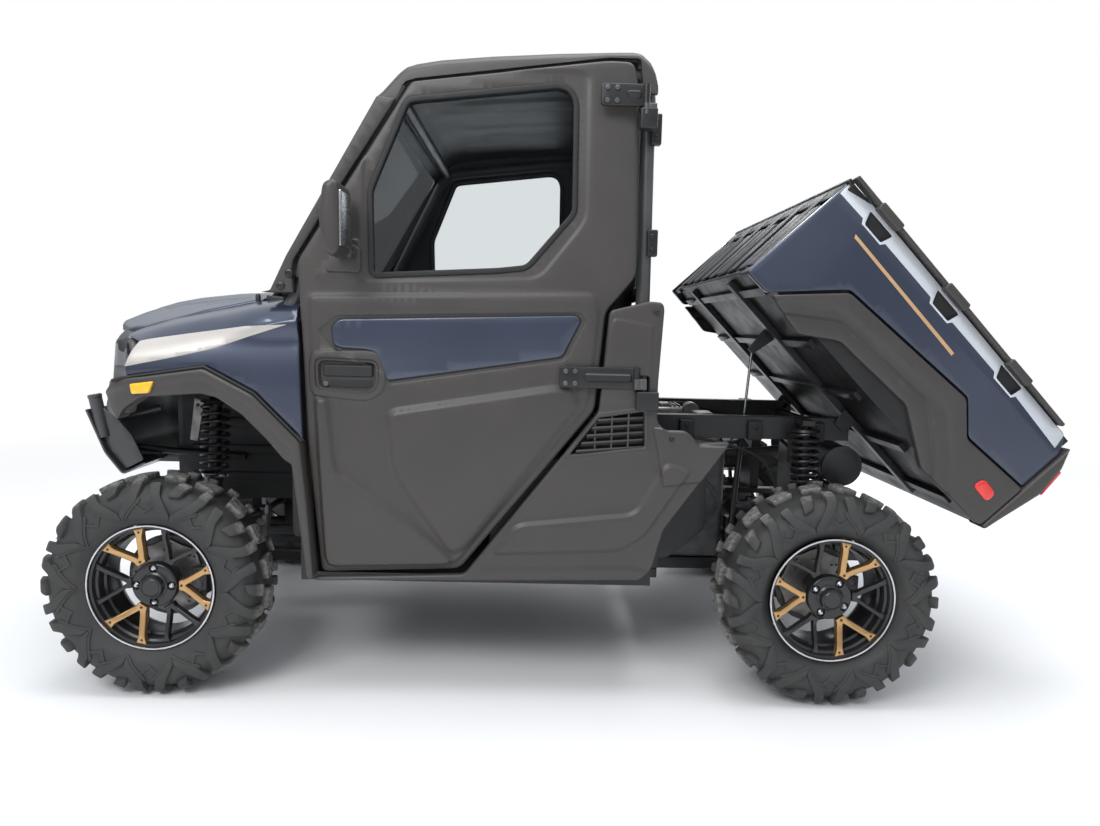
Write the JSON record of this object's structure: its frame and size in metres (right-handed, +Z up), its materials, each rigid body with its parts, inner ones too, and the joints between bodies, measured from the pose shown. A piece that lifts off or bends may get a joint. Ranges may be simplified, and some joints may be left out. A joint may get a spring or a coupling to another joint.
{
  "type": "side by side utility vehicle",
  "caption": "Two-door side by side utility vehicle with a full cab, steered front wheels and a tipping cargo bed, shown with the bed raised.",
  "frame": {"origin": "on the ground below the middle of the vehicle's box, with the bed raised", "axes": "+X to the rear, -Y to the vehicle's left side, +Z up"},
  "size_m": [3.2338, 1.88, 1.976],
  "materials": {
    "painted": "slate blue metallic paint, satin gloss",
    "body_plastic": "dark grey moulded plastic with a fine grain",
    "black_plastic": "black moulded plastic",
    "frame_steel": "black powder coat",
    "glass": "lightly tinted safety glass",
    "tyre": "black rubber",
    "alloy": "gloss black and bronze alloy",
    "cast_metal": "plain cast metal",
    "bright_steel": "bright steel",
    "seat_vinyl": "black vinyl",
    "amber": "amber lens",
    "lens": "clear lens",
    "red_lens": "red lens",
    "bed_liner": "black ribbed plastic"
  },
  "bodies": {
    "chassis": {"main_frame": "frame_steel", "front_frame": "frame_steel", "rear_frame": "frame_steel", "roll_cage": "frame_steel", "roof": "body_plastic", "cab_glass": "glass", "cab_tub": "black_plastic", "dashboard": "black_plastic", "seat_cushion": "seat_vinyl", "seat_back": "seat_vinyl", "front_fenders": "painted", "arch_flares": "body_plastic", "front_fascia": "body_plastic", "headlamps": "lens", "side_markers": "amber", "front_bumper": "frame_steel", "side_panels": "body_plastic", "engine_block": "cast_metal", "muffler": "bright_steel", "front_suspension": "frame_steel", "rear_suspension": "frame_steel", "shocks": "frame_steel", "axles": "cast_metal"},
    "hood": {"hood": "painted"},
    "door_left": {"door_left": "body_plastic", "door_insert_left": "painted", "door_glass_left": "glass", "mirror_left": "black_plastic"},
    "door_right": {"door_right": "body_plastic", "door_insert_right": "painted", "door_glass_right": "glass", "mirror_right": "black_plastic"},
    "bed": {"bed_box": "bed_liner", "bed_sides": "painted", "bed_rails": "black_plastic", "bed_skirts": "body_plastic", "bed_frame": "frame_steel", "tail_posts": "body_plastic", "tail_lamps": "red_lens"},
    "tailgate": {"tailgate": "body_plastic"},
    "knuckle_left": {"knuckle_left": "cast_metal"},
    "knuckle_right": {"knuckle_right": "cast_metal"},
    "steering_rack": {"steering_rack": "bright_steel"},
    "steering_wheel": {"steering_wheel": "black_plastic"},
    "strut_cylinder": {"strut_cylinder": "frame_steel"},
    "strut_rod": {"strut_rod": "bright_steel"},
    "wheel_front_left": {"wheel_front_left": "alloy", "tyre_front_left": "tyre"},
    "wheel_front_right": {"wheel_front_right": "alloy", "tyre_front_right": "tyre"},
    "wheel_rear_left": {"wheel_rear_left": "alloy", "tyre_rear_left": "tyre"},
    "wheel_rear_right": {"wheel_rear_right": "alloy", "tyre_rear_right": "tyre"}
  },
  "joints": [
    {"name": "steer_left", "type": "hinge", "parent": "chassis", "child": "knuckle_left", "pos_m": [-1.20553, -0.6, 0.338], "axis": [0, 0, 1], "range_deg": [-28, 28]},
    {"name": "steer_right", "type": "hinge", "parent": "chassis", "child": "knuckle_right", "pos_m": [-1.20553, 0.6, 0.338], "axis": [0, 0, 1], "range_deg": [-28, 28]},
    {"name": "rack_slide", "type": "slide", "parent": "chassis", "child": "steering_rack", "axis": [0, 1, 0], "range_m": [-0.0475, 0.0475]},
    {"name": "steering_wheel_turn", "type": "hinge", "parent": "chassis", "child": "steering_wheel", "pos_m": [-0.40553, -0.32, 1.15], "axis": [0.8829, 0, 0.4695], "range_deg": [-280.5, 280.5]},
    {"name": "hood_lift", "type": "hinge", "parent": "chassis", "child": "hood", "pos_m": [-0.91153, 0, 1.242], "axis": [0, 1, 0], "range_deg": [0, 55]},
    {"name": "door_left_swing", "type": "hinge", "parent": "chassis", "child": "door_left", "pos_m": [0.24747, -0.774, 1.006], "axis": [0, 0, 1], "range_deg": [0, 75]},
    {"name": "door_right_swing", "type": "hinge", "parent": "chassis", "child": "door_right", "pos_m": [0.24747, 0.774, 1.006], "axis": [0, 0, -1], "range_deg": [0, 75]},
    {"name": "bed_tilt", "type": "hinge", "parent": "chassis", "child": "bed", "pos_m": [1.02947, 0, 0.84], "axis": [0, 1, 0], "range_deg": [-46, 0]},
    {"name": "tailgate_drop", "type": "hinge", "parent": "bed", "child": "tailgate", "pos_m": [1.3704, 0, 0.55894], "axis": [0, 1, 0], "range_deg": [0, 90]},
    {"name": "strut_swing", "type": "hinge", "parent": "chassis", "child": "strut_cylinder", "pos_m": [0.67947, -0.25, 0.452], "axis": [0, 1, 0], "range_deg": [-11.16, 0]},
    {"name": "strut_slide", "type": "slide", "parent": "strut_cylinder", "child": "strut_rod", "axis": [0.0717, 0, 0.9974], "range_m": [-0.29526, 0]},
    {"name": "front_left_spin", "type": "hinge", "parent": "knuckle_left", "child": "wheel_front_left", "pos_m": [-1.20553, -0.685, 0.338], "axis": [0, 1, 0], "continuous": true},
    {"name": "front_right_spin", "type": "hinge", "parent": "knuckle_right", "child": "wheel_front_right", "pos_m": [-1.20553, 0.685, 0.338], "axis": [0, 1, 0], "continuous": true},
    {"name": "rear_left_spin", "type": "hinge", "parent": "chassis", "child": "wheel_rear_left", "pos_m": [0.87447, -0.66, 0.338], "axis": [0, 1, 0], "continuous": true},
    {"name": "rear_right_spin", "type": "hinge", "parent": "chassis", "child": "wheel_rear_right", "pos_m": [0.87447, 0.66, 0.338], "axis": [0, 1, 0], "continuous": true}
  ],
  "couplings": [
    {"joint": "steer_right", "follows": "steer_left", "ratio": 1},
    {"joint": "rack_slide", "follows": "steer_left", "m_per_rad": -0.096067},
    {"joint": "steering_wheel_turn", "follows": "steer_left", "ratio": 10},
    {"joint": "strut_swing", "follows": "bed_tilt", "ratio": 0.24214},
    {"joint": "strut_slide", "follows": "bed_tilt", "m_per_rad": 0.36703}
  ]
}
